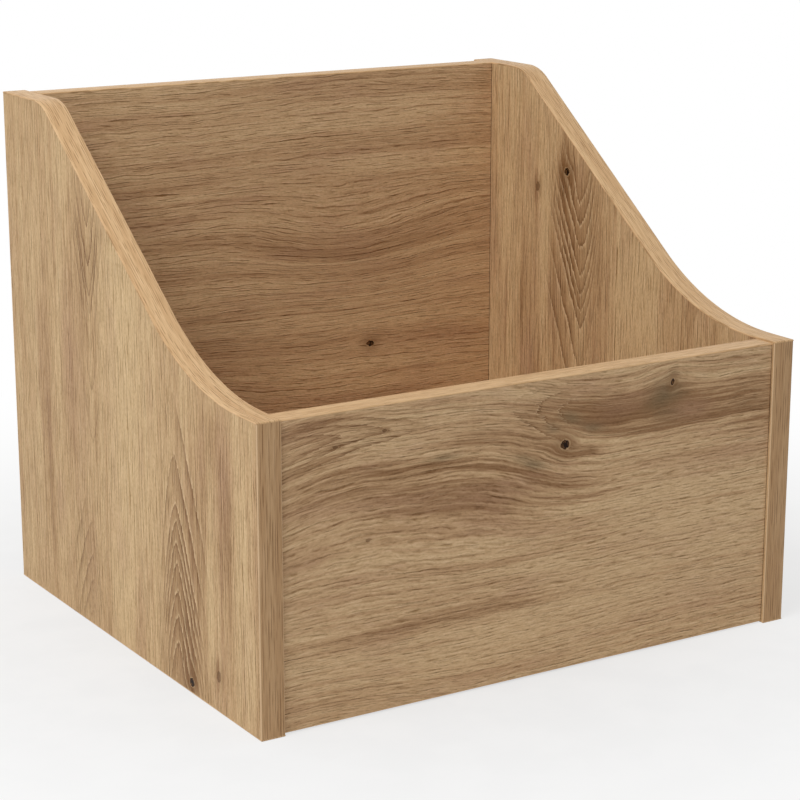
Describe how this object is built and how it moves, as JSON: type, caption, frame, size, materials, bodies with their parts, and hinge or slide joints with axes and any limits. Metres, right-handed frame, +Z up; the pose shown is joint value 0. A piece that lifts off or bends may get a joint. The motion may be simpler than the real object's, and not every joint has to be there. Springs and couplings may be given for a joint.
{
  "type": "record storage stand",
  "caption": "Open-topped record storage stand of oak-decor boards with curved side boards, a low front and a high back, joined by hidden cam fittings and dowels.",
  "frame": {"origin": "on the floor, at the middle of the stand's width and depth", "axes": "+X to the right seen from the front, +Y from the front to the back, +Z up"},
  "size_m": [0.37, 0.33, 0.32],
  "materials": {
    "oak_board": "matt oak-decor melamine paper on 15 mm chipboard, with an embossed grain",
    "oak_band": "matt oak-decor plastic edge band, fine lengthwise streaks",
    "bolt_steel": "zinc-plated steel",
    "lock_zinc": "die-cast zinc, grey and slightly rough",
    "cap_plastic": "matt oak-coloured plastic",
    "beech": "bare turned beech"
  },
  "bodies": {
    "root": {"left_side_board": "oak_board", "right_side_board": "oak_board", "front_board": "oak_board", "back_board": "oak_board", "bottom_board": "oak_board", "left_side_top_band": "oak_band", "left_side_front_band": "oak_band", "left_side_back_band": "oak_band", "left_side_bottom_band": "oak_band", "right_side_top_band": "oak_band", "right_side_front_band": "oak_band", "right_side_back_band": "oak_band", "right_side_bottom_band": "oak_band", "front_board_top_band": "oak_band", "front_board_bottom_band": "oak_band", "back_board_top_band": "oak_band", "back_board_bottom_band": "oak_band", "front_cam_bolts": "bolt_steel", "back_cam_bolts": "bolt_steel", "bottom_cam_bolts": "bolt_steel", "front_cam_locks": "lock_zinc", "back_cam_locks": "lock_zinc", "bottom_cam_locks": "lock_zinc", "front_cam_caps": "cap_plastic", "back_cam_caps": "cap_plastic", "front_dowels": "beech", "back_dowels": "beech", "bottom_dowels": "beech", "bottom_edge_dowels": "beech"}
  },
  "joints": []
}
